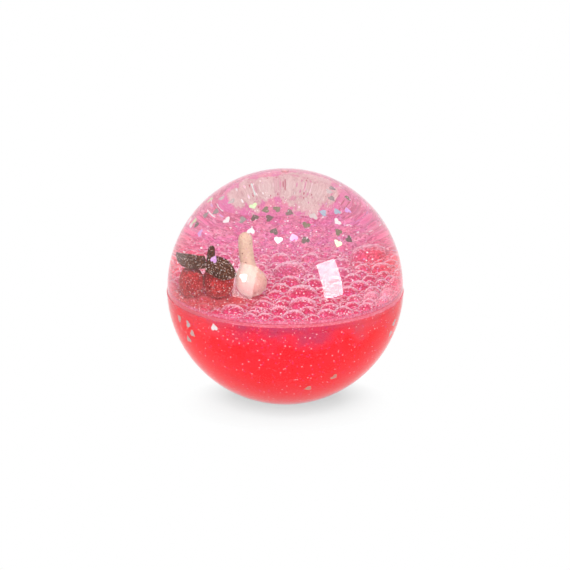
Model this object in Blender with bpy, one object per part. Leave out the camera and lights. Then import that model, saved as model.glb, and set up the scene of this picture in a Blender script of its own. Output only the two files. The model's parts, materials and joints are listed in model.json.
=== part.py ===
# Water ball: a clear ball of soft vinyl in two halves, with red water below and clear oil above.
# A layer of bubbles lies on the water. Two fruit floats sit in it, and heart confetti drifts by the wall.
# Lengths are in metres. The ball stands on its flattened foot at z = 0, with the fill plug on top.

import math
import random

import bmesh
import bpy
from mathutils import Matrix, Vector

# Ball
BALL_RADIUS = 0.0325
SEAM_STEP = 0.0002
WALL = 0.0026
FOOT_RADIUS = 0.005
CLEARANCE = 0.0003

# Lap joint at the seam
TONGUE_THICKNESS = 0.001
TONGUE_DEPTH = 0.0015
GLUE_HEIGHT = 0.0004

# Fill hole and its plug
FILL_HOLE_RADIUS = 0.0014

# Heart confetti, in clusters of (azimuth from the front, latitude, spread, count), with angles in degrees
HEART_WIDTH = 0.0021
HEART_THICKNESS = 0.00012
HEART_WALL_GAP = 0.0003
HEART_SPACING = 1.15
HEART_TILT = math.radians(5)
HEART_CLUSTERS = ((-73, 46, 12, 8), (-34, 54, 10, 6), (-1, 47, 12, 8), (28, 45, 10, 6), (58, 59, 8, 6),
                  (180, 50, 15, 2), (-60, -15, 7, 4), (24, -37, 7, 2), (68, -16, 5, 2))
HEART_TRIES = 400
HEART_SEED = 11
HEART_HALF_UNITS = 16.0
HEART_LOBES = (13.0, -5.0, -2.0, -1.0)

# Bubble layer
FOAM_SHEET = 0.0006
BUBBLE_LARGE = 0.0032
BUBBLE_SMALL = 0.0011
BUBBLE_RISE = 0.72
BUBBLE_GAP = 0.00012
BUBBLE_TRIES = 3600
BUBBLE_SHRINK = 0.4
BUBBLE_SEED = 5
# Bubbles that stand out: place and radius as shares of the water's radius
MAIN_BUBBLES = ((0.03, 0.17, 0.1), (0.12, -0.31, 0.103), (0.13, -0.58, 0.094), (0.07, -0.89, 0.084),
                (0.33, -0.84, 0.073), (0.46, -0.76, 0.071), (-0.42, -0.76, 0.09), (-0.25, -0.8, 0.05),
                (0.47, 0.47, 0.083), (0.15, 0.42, 0.054), (0.34, 0.32, 0.061), (0.33, 0.62, 0.054),
                (0.6, 0.24, 0.061), (-0.03, 0.41, 0.061), (0.48, 0.25, 0.045), (0.56, 0.05, 0.045))
# Towards the back the other bubbles shrink to this share, between these shares of the water's radius
BUBBLE_BACK = 0.45
BACK_START = 0.07
BACK_END = 0.49

# Cherry float. The stem's place and the leaves' middle lines are in cherry radii, from the middle of the pair
CHERRY_RADIUS = 0.0036
CHERRY_PITCH = 0.0069
CHERRY_DIMPLE = 0.0007
CHERRY_DIMPLE_POWER = 6
CHERRY_WALL_GAP = 0.0017
LEFT_CHERRY_AZIMUTH = math.radians(205.3)
PAIR_AZIMUTH = 0.0
STEM_PLACE = Vector((0.42, 0.11, 0.0))
STEM_RADIUS = 0.001
STEM_TIP_RADIUS = 0.0008
STEM_HEIGHT = 0.0042
LEAF_WIDTH = 0.0047
LEAF_THICKNESS = 0.0006
LEAF_EDGE_SHARE = 0.5
LEAF_BASE_SHARE = 0.8
LEAF_TIP_SHARE = 0.06
LEFT_LEAF_LINE = (Vector((0.05, -0.17, 1.28)), Vector((-1.55, -0.25, 1.23)), Vector((-2.2, 1.8, 1.35)))
LEFT_LEAF_FACE = Vector((0.0, -0.4, 0.92))
RIGHT_LEAF_LINE = (Vector((0.14, -0.58, 1.31)), Vector((1.1, -0.88, 1.1)), Vector((2.03, -0.69, 0.53)))
RIGHT_LEAF_FACE = Vector((0.1, -0.82, 0.56))

# Pear float
PEAR_RADIUS = 0.0033
PEAR_HEIGHT = 0.0145
PEAR_NECK_RADIUS = 0.00155
PEAR_LEAN = 0.0016
PEAR_AZIMUTH = math.radians(4)
FRUIT_GAP = 0.00045

# Facets
BALL_SEGMENTS = 48
BALL_RINGS = 10
FRUIT_SEGMENTS = 16
FRUIT_RINGS = 10
PEAR_RINGS = 15
PEAR_BLEND = 4.0
PEAR_END_RING = 0.04
HEART_POINTS = 14
LEAF_STATIONS = 8
BUBBLE_RINGS = 3
BUBBLE_SEGMENTS = 10
PLUG_SEGMENTS = 16
SMOOTH_ANGLE = math.radians(40)
MERGE_DISTANCE = 1e-7

# Sizes that follow from the ones above, in the ball's own centred frame
DOME_RADIUS = BALL_RADIUS - SEAM_STEP
CHAMBER_RADIUS = DOME_RADIUS - WALL
CENTRE_HEIGHT = math.sqrt(BALL_RADIUS ** 2 - FOOT_RADIUS ** 2)
SEAM_FACE = CLEARANCE / 2
TONGUE_OUTER = CHAMBER_RADIUS + TONGUE_THICKNESS
REBATE_RADIUS = TONGUE_OUTER + CLEARANCE
GLUE_TOP = -TONGUE_DEPTH - CLEARANCE
GLUE_BOTTOM = GLUE_TOP - GLUE_HEIGHT
REBATE_FLOOR = GLUE_BOTTOM - CLEARANCE
FACET_SAG = CHAMBER_RADIUS * (1 - math.cos(math.pi / BALL_SEGMENTS))
HEART_SAG = HEART_WIDTH ** 2 / CHAMBER_RADIUS
LOWER_HEART_RADIUS = CHAMBER_RADIUS - FACET_SAG - CLEARANCE - HEART_SAG - HEART_THICKNESS / 2
WATER_RADIUS = LOWER_HEART_RADIUS - HEART_THICKNESS / 2 - CLEARANCE
UPPER_HEART_RADIUS = LOWER_HEART_RADIUS - HEART_WALL_GAP - HEART_WIDTH * math.sin(HEART_TILT)
FLOAT_BASE = FOAM_SHEET + CLEARANCE
CHERRY_FLAT = CHERRY_PITCH / 2 - CLEARANCE / 2
CHERRY_HEIGHT = FLOAT_BASE + CHERRY_RADIUS

COLOURS = {
    "vinyl": (0.95, 0.88, 0.9, 0.12, 0.0),
    "glue": (0.55, 0.12, 0.14, 0.3, 0.0),
    "plug": (0.8, 0.2, 0.25, 0.25, 0.0),
    "water": (0.93, 0.045, 0.06, 0.2, 0.0),
    "foam": (0.82, 0.2, 0.35, 0.35, 0.0),
    "cherry": (0.5, 0.06, 0.065, 0.35, 0.0),
    "leaf": (0.13, 0.075, 0.05, 0.5, 0.0),
    "pear": (0.88, 0.55, 0.4, 0.4, 0.0),
    "heart": (0.78, 0.72, 0.8, 0.2, 0.8),
}


def clear_scene():
    for thing in list(bpy.data.objects):
        bpy.data.objects.remove(thing, do_unlink=True)


def material(name, finish):
    red, green, blue, roughness, metallic = COLOURS[finish]
    made = bpy.data.materials.new(name)
    made.use_nodes = True
    shader = made.node_tree.nodes["Principled BSDF"]
    shader.inputs["Base Color"].default_value = (red, green, blue, 1.0)
    shader.inputs["Roughness"].default_value = roughness
    shader.inputs["Metallic"].default_value = metallic
    return made


def pivot(name, location, parent=None):
    empty = bpy.data.objects.new(name, None)
    empty.empty_display_size = CHERRY_RADIUS
    empty.location = location
    empty.parent = parent
    bpy.context.collection.objects.link(empty)
    return empty


def add_object(name, mesh, finish, parent):
    piece = bpy.data.objects.new(name, mesh)
    piece.parent = parent
    if not mesh.materials:
        mesh.materials.append(material(name, finish))
    bpy.context.collection.objects.link(piece)
    return piece


def finish_mesh(name, work):
    bmesh.ops.remove_doubles(work, verts=work.verts, dist=MERGE_DISTANCE)
    bmesh.ops.recalc_face_normals(work, faces=work.faces)
    mesh = bpy.data.meshes.new(name)
    work.to_mesh(mesh)
    work.free()
    mesh.shade_smooth()
    mesh.set_sharp_from_angle(angle=SMOOTH_ANGLE)
    return mesh


def arc(radius, start, end, steps):
    # Points (distance from the axis, height) on a circle round the ball's centre, between two latitudes
    points = []
    for step in range(steps + 1):
        angle = start + (end - start) * step / steps
        points.append((radius * math.cos(angle), radius * math.sin(angle)))
    return points


def lathe(name, profile, segments, closed):
    # A profile of (distance from the axis, height) turned once round the vertical axis
    work = bmesh.new()
    verts = [work.verts.new((across, 0.0, height)) for across, height in profile]
    edges = [work.edges.new(pair) for pair in zip(verts, verts[1:])]
    if closed:
        edges.append(work.edges.new((verts[-1], verts[0])))
    bmesh.ops.spin(work, geom=verts + edges, cent=(0, 0, 0), axis=(0, 0, 1), angle=2 * math.pi,
                   steps=segments, use_merge=True)
    return finish_mesh(name, work)


def skin_rings(name, rings):
    # Rings with the same number of points, skinned one to the next and capped at both ends
    work = bmesh.new()
    loops = [[work.verts.new(point) for point in ring] for ring in rings]
    count = len(loops[0])
    for lower, upper in zip(loops, loops[1:]):
        for step in range(count):
            after = (step + 1) % count
            work.faces.new((lower[step], lower[after], upper[after], upper[step]))
    work.faces.new(loops[0])
    work.faces.new(loops[-1])
    return finish_mesh(name, work)


def polar(distance, azimuth, height):
    return Vector((distance * math.cos(azimuth), distance * math.sin(azimuth), height))


def make_upper_shell(parent):
    pole = math.acos(FILL_HOLE_RADIUS / DOME_RADIUS)
    inner_pole = math.acos(FILL_HOLE_RADIUS / CHAMBER_RADIUS)
    profile = arc(DOME_RADIUS, pole, math.asin(SEAM_FACE / DOME_RADIUS), BALL_RINGS)
    profile.append((TONGUE_OUTER, SEAM_FACE))
    profile.append((TONGUE_OUTER, -TONGUE_DEPTH))
    profile.append((CHAMBER_RADIUS, -TONGUE_DEPTH))
    profile += arc(CHAMBER_RADIUS, 0, inner_pole, BALL_RINGS)
    add_object("upper_shell", lathe("upper_shell", profile, BALL_SEGMENTS, True), "vinyl", parent)


def make_lower_shell(parent):
    seam = -math.asin(SEAM_FACE / BALL_RADIUS)
    foot = -math.acos(FOOT_RADIUS / BALL_RADIUS)
    profile = arc(CHAMBER_RADIUS, -math.pi / 2, math.asin(REBATE_FLOOR / CHAMBER_RADIUS), BALL_RINGS)
    profile.append((REBATE_RADIUS, REBATE_FLOOR))
    profile.append((REBATE_RADIUS, -SEAM_FACE))
    profile += arc(BALL_RADIUS, seam, foot, BALL_RINGS)
    profile.append((0, -CENTRE_HEIGHT))
    add_object("lower_shell", lathe("lower_shell", profile, BALL_SEGMENTS, False), "vinyl", parent)


def make_seam_glue(parent):
    profile = [(TONGUE_OUTER, GLUE_TOP), (TONGUE_OUTER, GLUE_BOTTOM),
               (CHAMBER_RADIUS, GLUE_BOTTOM), (CHAMBER_RADIUS, GLUE_TOP)]
    add_object("seam_glue", lathe("seam_glue", profile, BALL_SEGMENTS, True), "glue", parent)


def make_fill_plug(parent):
    radius = FILL_HOLE_RADIUS - CLEARANCE
    inner_end = CHAMBER_RADIUS + CLEARANCE
    edge = math.sqrt(DOME_RADIUS ** 2 - radius ** 2)
    profile = [(0, DOME_RADIUS), (radius, edge), (radius, inner_end), (0, inner_end)]
    add_object("fill_plug", lathe("fill_plug", profile, PLUG_SEGMENTS, False), "plug", parent)


def make_red_water(parent):
    top = math.asin(-CLEARANCE / WATER_RADIUS)
    profile = [(0, -CLEARANCE)] + arc(WATER_RADIUS, top, -math.pi / 2, BALL_RINGS)
    add_object("red_water", lathe("red_water", profile, BALL_SEGMENTS, False), "water", parent)


def float_places():
    # Where the two cherries and the pear stand, on the ball's centred plan
    reach = WATER_RADIUS - CHERRY_WALL_GAP - CHERRY_RADIUS
    left = polar(reach, LEFT_CHERRY_AZIMUTH, CHERRY_HEIGHT)
    right = left + polar(CHERRY_PITCH, PAIR_AZIMUTH, 0)
    pear = right + polar(CHERRY_RADIUS + PEAR_RADIUS + FRUIT_GAP, PEAR_AZIMUTH, 0)
    pear.z = FLOAT_BASE
    return left, right, pear


def bubble_places():
    # The main bubbles first, then smaller and smaller ones in the room that is left
    left, right, pear = float_places()
    taken = [(left.x, left.y, CHERRY_RADIUS + CLEARANCE), (right.x, right.y, CHERRY_RADIUS + CLEARANCE),
             (pear.x, pear.y, PEAR_RADIUS + CLEARANCE)]
    fruit = len(taken)
    taken += [tuple(share * WATER_RADIUS for share in bubble) for bubble in MAIN_BUBBLES]
    draw = random.Random(BUBBLE_SEED)
    for attempt in range(BUBBLE_TRIES):
        share = attempt / BUBBLE_TRIES
        radius = BUBBLE_LARGE + (BUBBLE_SMALL - BUBBLE_LARGE) * share ** BUBBLE_SHRINK
        distance = (WATER_RADIUS - radius - BUBBLE_GAP) * math.sqrt(draw.random())
        spot = polar(distance, 2 * math.pi * draw.random(), 0)
        back = (spot.y / WATER_RADIUS - BACK_START) / (BACK_END - BACK_START)
        radius *= 1 + (BUBBLE_BACK - 1) * min(1, max(0, back))
        if all(math.hypot(spot.x - x, spot.y - y) > radius + other + BUBBLE_GAP for x, y, other in taken):
            taken.append((spot.x, spot.y, radius))
    return taken[fruit:]


def make_foam_layer(parent):
    sheet = lathe("foam_layer", [(0, FOAM_SHEET), (WATER_RADIUS, FOAM_SHEET), (WATER_RADIUS, 0), (0, 0)],
                  BALL_SEGMENTS, False)
    layer = add_object("foam_layer", sheet, "foam", parent)
    domes = bmesh.new()
    for x, y, radius in bubble_places():
        dome = [(radius * math.sin(step * math.pi / 2 / BUBBLE_RINGS),
                 FOAM_SHEET + BUBBLE_RISE * radius * math.cos(step * math.pi / 2 / BUBBLE_RINGS))
                for step in range(BUBBLE_RINGS + 1)]
        dome += [(radius, FOAM_SHEET / 2), (0, FOAM_SHEET / 2)]
        cap = lathe("bubble", dome, BUBBLE_SEGMENTS, False)
        cap.transform(Matrix.Translation((x, y, 0)))
        domes.from_mesh(cap)
        bpy.data.meshes.remove(cap)
    cutter_mesh = bpy.data.meshes.new("bubbles")
    domes.to_mesh(cutter_mesh)
    domes.free()
    bubbles = bpy.data.objects.new("bubbles", cutter_mesh)
    bubbles.parent = parent
    bubbles.hide_render = True
    bubbles.display_type = "WIRE"
    bpy.context.collection.objects.link(bubbles)
    union = layer.modifiers.new("bubbles", "BOOLEAN")
    union.operation = "UNION"
    union.solver = "EXACT"
    union.object = bubbles


def make_cherry(name, centre, parent):
    # A ball with a shallow dimple on top and a flat side where it meets its twin
    profile = []
    for step in range(FRUIT_RINGS + 1):
        angle = math.pi * step / FRUIT_RINGS
        dimple = CHERRY_DIMPLE * max(0.0, math.cos(angle)) ** CHERRY_DIMPLE_POWER
        profile.append((CHERRY_RADIUS * math.sin(angle), (CHERRY_RADIUS - dimple) * math.cos(angle)))
    whole = lathe(name, profile, FRUIT_SEGMENTS, False)
    inward = -centre.normalized()
    work = bmesh.new()
    work.from_mesh(whole)
    bpy.data.meshes.remove(whole)
    cut = bmesh.ops.bisect_plane(work, geom=work.verts[:] + work.edges[:] + work.faces[:],
                                 plane_co=inward * CHERRY_FLAT, plane_no=inward, clear_outer=True)
    rim = [item for item in cut["geom_cut"] if isinstance(item, bmesh.types.BMEdge)]
    if rim:
        bmesh.ops.contextual_create(work, geom=rim)
    cherry = add_object(name, finish_mesh(name, work), "cherry", parent)
    cherry.location = centre


def make_stem(centre, parent):
    # A round stub that stands on the right cherry
    def ring(radius, height):
        return [centre + polar(radius, 2 * math.pi * step / FRUIT_SEGMENTS, height)
                for step in range(FRUIT_SEGMENTS)]
    rings = [ring(STEM_RADIUS, 0), ring(STEM_RADIUS, STEM_HEIGHT / 2),
             ring(STEM_TIP_RADIUS, STEM_HEIGHT - STEM_TIP_RADIUS / 2), ring(STEM_TIP_RADIUS / 2, STEM_HEIGHT)]
    add_object("cherry_stem", skin_rings("cherry_stem", rings), "leaf", parent)


def make_leaf(name, line, face, parent):
    # A blade along a curve from the first point to the last, pulled towards the middle one
    start, bend, end = [point * CHERRY_RADIUS for point in line]
    rings = []
    for station in range(LEAF_STATIONS + 1):
        along = station / LEAF_STATIONS
        point = start * (1 - along) ** 2 + bend * 2 * along * (1 - along) + end * along ** 2
        tangent = ((bend - start) * (1 - along) + (end - bend) * along).normalized()
        side = tangent.cross(face).normalized()
        thick = side.cross(tangent).normalized() * (LEAF_THICKNESS / 2)
        base = LEAF_BASE_SHARE * (1 - along)
        share = LEAF_TIP_SHARE + base + (1 - LEAF_TIP_SHARE - base) * math.sin(math.pi * along)
        wide = side * (share * LEAF_WIDTH / 2)
        edge = thick * LEAF_EDGE_SHARE
        rings.append([point + wide + edge, point + thick, point - wide + edge,
                      point - wide - edge, point - thick, point + wide - edge])
    add_object(name, skin_rings(name, rings), "leaf", parent)


def make_cherries(parent):
    left, right, _ = float_places()
    middle = (left + right) / 2
    holder = pivot("cherry_float", middle, parent)
    make_cherry("cherry_left", left - middle, holder)
    make_cherry("cherry_right", right - middle, holder)
    foot = STEM_PLACE * CHERRY_RADIUS
    aside = (right - middle - foot).length - STEM_RADIUS
    foot.z = math.sqrt((CHERRY_RADIUS + CLEARANCE) ** 2 - aside ** 2)
    make_stem(foot, holder)
    make_leaf("leaf_left", LEFT_LEAF_LINE, LEFT_LEAF_FACE, holder)
    make_leaf("leaf_right", RIGHT_LEAF_LINE, RIGHT_LEAF_FACE, holder)


def pear_radius(height):
    # A round body and a slim round-ended neck, blended smoothly
    body = math.sqrt(max(0.0, PEAR_RADIUS ** 2 - (height - PEAR_RADIUS) ** 2))
    above = max(0.0, height - (PEAR_HEIGHT - PEAR_NECK_RADIUS))
    below = max(0.0, PEAR_RADIUS - height)
    neck = math.sqrt(max(0.0, PEAR_NECK_RADIUS ** 2 - above ** 2)) * (1 - below / PEAR_RADIUS)
    return (body ** PEAR_BLEND + neck ** PEAR_BLEND) ** (1 / PEAR_BLEND)


def make_pear(parent):
    _, _, place = float_places()
    holder = pivot("pear_float", place, parent)
    rings = []
    for ring in range(PEAR_RINGS + 1):
        share = PEAR_END_RING + (1 - 2 * PEAR_END_RING) * ring / PEAR_RINGS
        height = PEAR_HEIGHT * (1 - math.cos(math.pi * share)) / 2
        rise = min(1.0, max(0.0, (height - PEAR_RADIUS) / (PEAR_HEIGHT - PEAR_RADIUS)))
        lean = -PEAR_LEAN * math.sin(rise * math.pi / 2)
        rings.append([polar(pear_radius(height), 2 * math.pi * step / FRUIT_SEGMENTS, height)
                      + Vector((lean, 0, 0)) for step in range(FRUIT_SEGMENTS)])
    add_object("pear", skin_rings("pear", rings), "pear", holder)


def heart_mesh():
    # A flat heart outline, extruded to the thickness of the film
    work = bmesh.new()
    scale = HEART_WIDTH / (2 * HEART_HALF_UNITS)
    outline = []
    for step in range(HEART_POINTS):
        turn = 2 * math.pi * step / HEART_POINTS
        across = HEART_HALF_UNITS * math.sin(turn) ** 3
        along = sum(size * math.cos(order * turn) for order, size in enumerate(HEART_LOBES, 1))
        outline.append(work.verts.new((scale * across, scale * along, -HEART_THICKNESS / 2)))
    face = work.faces.new(outline)
    raised = bmesh.ops.extrude_face_region(work, geom=[face])
    top = [item for item in raised["geom"] if isinstance(item, bmesh.types.BMVert)]
    bmesh.ops.translate(work, verts=top, vec=(0, 0, HEART_THICKNESS))
    return finish_mesh("heart", work)


def heart_places():
    # Directions from the ball's centre, drawn cluster by cluster and kept clear of each other
    draw = random.Random(HEART_SEED)
    apart = HEART_SPACING * HEART_WIDTH / UPPER_HEART_RADIUS
    places = []
    for azimuth, latitude, spread, count in HEART_CLUSTERS:
        wanted = len(places) + count
        stretch = 1 / math.cos(math.radians(latitude))
        for attempt in range(HEART_TRIES):
            height = math.radians(latitude + draw.uniform(-spread, spread))
            turn = math.radians(azimuth + stretch * draw.uniform(-spread, spread)) - math.pi / 2
            outward = polar(math.cos(height), turn, math.sin(height))
            if len(places) < wanted and all((outward - other).length > apart for other in places):
                places.append(outward)
    return places, draw


def make_hearts(parent):
    # Each heart lies nearly along the wall, those below the water's surface flat against it
    holder = pivot("heart_swirl", (0, 0, 0), parent)
    mesh = heart_mesh()
    places, draw = heart_places()
    for number, outward in enumerate(places, 1):
        above = outward.z > 0
        radius = UPPER_HEART_RADIUS if above else LOWER_HEART_RADIUS
        heart = add_object("heart_%02d" % number, mesh.copy(), "heart", holder)
        turn = Matrix.Rotation(2 * math.pi * draw.random(), 4, "Z")
        tip = Matrix.Rotation(HEART_TILT * draw.uniform(-1, 1) if above else 0.0, 4, "X")
        lie = Vector((0, 0, 1)).rotation_difference(outward).to_matrix().to_4x4()
        heart.matrix_local = Matrix.Translation(outward * radius) @ lie @ turn @ tip


def main():
    clear_scene()
    ball = pivot("ball_centre", (0, 0, CENTRE_HEIGHT))
    make_upper_shell(ball)
    make_lower_shell(ball)
    make_seam_glue(ball)
    make_fill_plug(ball)
    make_red_water(ball)
    make_foam_layer(ball)
    make_cherries(ball)
    make_pear(ball)
    make_hearts(ball)


main()
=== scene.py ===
import json
import math
import random
import bpy
from mathutils import Matrix, Vector

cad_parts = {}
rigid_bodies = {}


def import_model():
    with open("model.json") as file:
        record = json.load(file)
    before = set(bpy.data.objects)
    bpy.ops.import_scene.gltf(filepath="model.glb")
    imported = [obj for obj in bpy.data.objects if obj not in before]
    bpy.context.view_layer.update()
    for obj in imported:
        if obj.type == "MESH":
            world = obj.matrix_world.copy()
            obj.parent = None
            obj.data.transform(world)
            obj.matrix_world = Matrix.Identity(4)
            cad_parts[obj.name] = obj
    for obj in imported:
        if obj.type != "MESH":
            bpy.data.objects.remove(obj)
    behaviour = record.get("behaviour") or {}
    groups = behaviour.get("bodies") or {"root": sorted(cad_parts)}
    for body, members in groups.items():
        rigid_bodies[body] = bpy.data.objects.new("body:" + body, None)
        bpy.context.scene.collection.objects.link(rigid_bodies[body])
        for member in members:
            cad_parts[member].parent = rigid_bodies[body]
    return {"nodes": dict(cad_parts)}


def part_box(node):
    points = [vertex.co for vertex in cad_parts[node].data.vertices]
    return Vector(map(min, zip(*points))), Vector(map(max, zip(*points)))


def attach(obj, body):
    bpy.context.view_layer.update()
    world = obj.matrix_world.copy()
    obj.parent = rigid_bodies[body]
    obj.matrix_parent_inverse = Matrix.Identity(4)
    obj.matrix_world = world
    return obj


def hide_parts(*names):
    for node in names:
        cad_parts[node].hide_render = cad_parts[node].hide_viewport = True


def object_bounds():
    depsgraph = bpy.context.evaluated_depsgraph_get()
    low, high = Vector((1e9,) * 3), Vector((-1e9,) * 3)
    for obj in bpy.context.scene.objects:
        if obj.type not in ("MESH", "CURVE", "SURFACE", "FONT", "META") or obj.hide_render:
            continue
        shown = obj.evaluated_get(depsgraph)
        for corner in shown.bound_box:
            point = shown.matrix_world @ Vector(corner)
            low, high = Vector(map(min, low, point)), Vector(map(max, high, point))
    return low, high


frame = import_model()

nodes = frame["nodes"]
cadLow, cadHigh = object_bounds()
ballRadius = (cadHigh.x - cadLow.x) / 2
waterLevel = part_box("foam_layer")[0].z  # height of the ball's centre and of the liquid's surface
waterRadius = (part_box("foam_layer")[1].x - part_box("foam_layer")[0].x) / 2
centre = Vector((0, 0, waterLevel))


def clearPick():
    if bpy.context.mode != "OBJECT":
        bpy.ops.object.mode_set(mode="OBJECT")
    bpy.ops.object.select_all(action="DESELECT")


def pick(piece):
    clearPick()
    piece.select_set(True)
    bpy.context.view_layer.objects.active = piece


def started(name):  # the primitive that was just added, with its place in the mesh
    piece = bpy.context.object
    piece.name = name
    piece.data.name = name
    pick(piece)
    bpy.ops.object.transform_apply(location=True, rotation=True, scale=True)
    return piece


def added(name, data):
    piece = bpy.data.objects.new(name, data)
    bpy.context.scene.collection.objects.link(piece)
    return piece


def openMesh(piece):
    pick(piece)
    bpy.ops.object.mode_set(mode="EDIT")
    bpy.ops.mesh.select_all(action="SELECT")


def closeMesh():
    bpy.ops.object.mode_set(mode="OBJECT")


def slicePiece(piece, height, up, fill):  # removes what is above or below a level plane
    openMesh(piece)
    bpy.ops.mesh.bisect(plane_co=(0, 0, height), plane_no=(0, 0, 1), use_fill=fill,
                        clear_outer=up, clear_inner=not up)
    closeMesh()


def worked(piece, kind, **values):  # adds a modifier and applies it
    pick(piece)
    step = piece.modifiers.new(kind.lower(), kind)
    for key, value in values.items():
        setattr(step, key, value)
    bpy.ops.object.modifier_apply(modifier=step.name)


def smoothed(piece, angle=180):
    pick(piece)
    bpy.ops.object.shade_smooth_by_angle(angle=math.radians(angle))


def joined(first, others):
    pick(first)
    for other in others:
        other.select_set(True)
    bpy.ops.object.join()
    return first


def facesOut(piece):
    openMesh(piece)
    bpy.ops.mesh.normals_make_consistent(inside=False)
    closeMesh()


def nodeCopy(node, name):  # a merged copy of a solid, as a start for a finer piece
    piece = added(name, nodes[node].data.copy())
    piece.data.materials.clear()
    openMesh(piece)
    bpy.ops.mesh.remove_doubles(threshold=1e-6)
    flat = math.radians(60)
    bpy.ops.mesh.tris_convert_to_quads(face_threshold=flat, shape_threshold=flat)
    closeMesh()
    return piece


def polar(distance, azimuth, height):
    return Vector((distance * math.cos(azimuth), distance * math.sin(azimuth), height))


def onSphere(azimuth, latitude):
    return polar(math.cos(latitude), azimuth, math.sin(latitude))


def share(value, start, end):  # how far a value is from start to end, 0 to 1
    return min(1.0, max(0.0, (value - start) / (end - start)))


# finishes

def newFinish(name):
    finish = bpy.data.materials.new(name)
    finish.use_nodes = True
    return finish, finish.node_tree, finish.node_tree.nodes["Principled BSDF"]


def feed(tree, node, inputs):  # each input takes a link, a colour or a number
    for key, value in inputs.items():
        socket = node.inputs[key]
        if isinstance(value, bpy.types.NodeSocket):
            tree.links.new(value, socket)
        elif socket.type == "RGBA" and len(value) == 3:
            socket.default_value = value + (1.0,)
        else:
            socket.default_value = value


def place(tree, kind, inputs={}, **values):  # one shader node with its settings
    made = tree.nodes.new(kind)
    for key, value in values.items():
        setattr(made, key, value)
    feed(tree, made, inputs)
    return made


def here(tree):
    return place(tree, "ShaderNodeTexCoord").outputs["Object"]


def axes(tree, spot):
    return place(tree, "ShaderNodeSeparateXYZ", {0: spot}).outputs


def mapped(tree, spot, scale, move=(0.0, 0.0, 0.0)):
    return place(tree, "ShaderNodeMapping", {"Vector": spot, "Location": move, "Scale": scale}).outputs["Vector"]


def length(tree, spot):
    return place(tree, "ShaderNodeVectorMath", {0: spot}, operation="LENGTH").outputs["Value"]


def sums(tree, operation, *values):
    return place(tree, "ShaderNodeMath", dict(enumerate(values)), operation=operation).outputs[0]


def between(tree, value, start, end, low=0.0, high=1.0):
    limits = {"Value": value, "From Min": start, "From Max": end, "To Min": low, "To Max": high}
    return place(tree, "ShaderNodeMapRange", limits).outputs["Result"]


def ramp(tree, value, stops, mode="LINEAR"):
    made = place(tree, "ShaderNodeValToRGB", {0: value})
    made.color_ramp.interpolation = mode
    band = made.color_ramp.elements
    while len(band) < len(stops):
        band.new(0.5)
    for element, (spot, colour) in zip(band, stops):
        element.position = spot
        element.color = tuple(colour) + ((1.0,) if len(colour) == 3 else ())
    return made.outputs


def noise(tree, scale, detail=3.0):
    inputs = {"Vector": here(tree), "Scale": scale, "Detail": detail}
    return place(tree, "ShaderNodeTexNoise", inputs).outputs["Fac"]


def blend(tree, factor, first, second, mode="MIX"):
    inputs = {0: factor, 6: first, 7: second}
    return place(tree, "ShaderNodeMix", inputs, data_type="RGBA", blend_type=mode).outputs[2]


def cells(tree, scale, feature="F1"):
    return place(tree, "ShaderNodeTexVoronoi", {"Vector": here(tree), "Scale": scale}, feature=feature).outputs


def channels(tree, colour):
    return place(tree, "ShaderNodeSeparateColor", {0: colour}).outputs


def glitterOver(tree, colour, scale, stops, size):  # scattered specks, one colour to a cell
    cell = cells(tree, scale)
    speck = ramp(tree, channels(tree, cell["Color"])[0], [(0.0, (1, 1, 1, 0))] + stops, "CONSTANT")
    cover = sums(tree, "MULTIPLY", sums(tree, "LESS_THAN", cell["Distance"], size), speck["Alpha"])
    return blend(tree, cover, colour, speck["Color"])


def grainOver(tree, colour, scale, dark, middle, light):  # fine grain, one shade to a cell
    shade = channels(tree, cells(tree, scale)["Color"])[1]
    grain = ramp(tree, shade, [(0.0, dark), (middle, (1.0, 1.0, 1.0)), (1.0, light)])
    return blend(tree, 1.0, colour, grain["Color"], "MULTIPLY")


frothLook = {"scale": 1000.0, "edgeEnd": 0.02, "middleStart": 0.16}


def froth(tree, edge, middle):  # small bubbles against a wall, with paler edges
    cell = cells(tree, frothLook["scale"], "DISTANCE_TO_EDGE")
    stops = [(frothLook["edgeEnd"], edge), (frothLook["middleStart"], middle)]
    return ramp(tree, cell["Distance"], stops)["Color"]


print("frame loaded, ball radius", round(ballRadius * 1000, 2), "mm")

# glue of the seam, seen on the rims of the halves and as a thin line at the surface
seamLook = {"line": (0.8, 0.045, 0.085), "pale": (0.95, 0.22, 0.34), "left": (0.66, 0.09, 0.11),
            "leftSpan": (-0.012, -0.022, 0.0, 0.75),  # start, end and values there
            "cloud": (200.0, 3.0), "clear": [(0.3, (0.97, 0.86, 0.87)), (0.7, (1.0, 0.95, 0.95))],
            "glitter": 2800.0, "speck": 0.45, "specks": [(0.8, (0.95, 0.55, 0.62)), (0.9, (0.75, 0.06, 0.12))],
            "segments": 160, "ringIn": 0.0005, "ringWide": 0.0007, "ringEdge": 0.0001,
            "film": 0.00012, "filmIn": 0.0015, "filmWide": 0.0025}


def seamFinish():
    finish, tree, shader = newFinish("seamGlue")
    tone = froth(tree, seamLook["pale"], seamLook["line"])
    colour = glitterOver(tree, tone, seamLook["glitter"], seamLook["specks"], seamLook["speck"])
    nearCherry = between(tree, axes(tree, here(tree))["X"], *seamLook["leftSpan"])
    colour = blend(tree, nearCherry, colour, seamLook["left"])
    feed(tree, shader, {"Base Color": colour, "Roughness": 0.3})
    return finish


seamGlue = seamFinish()

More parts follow.
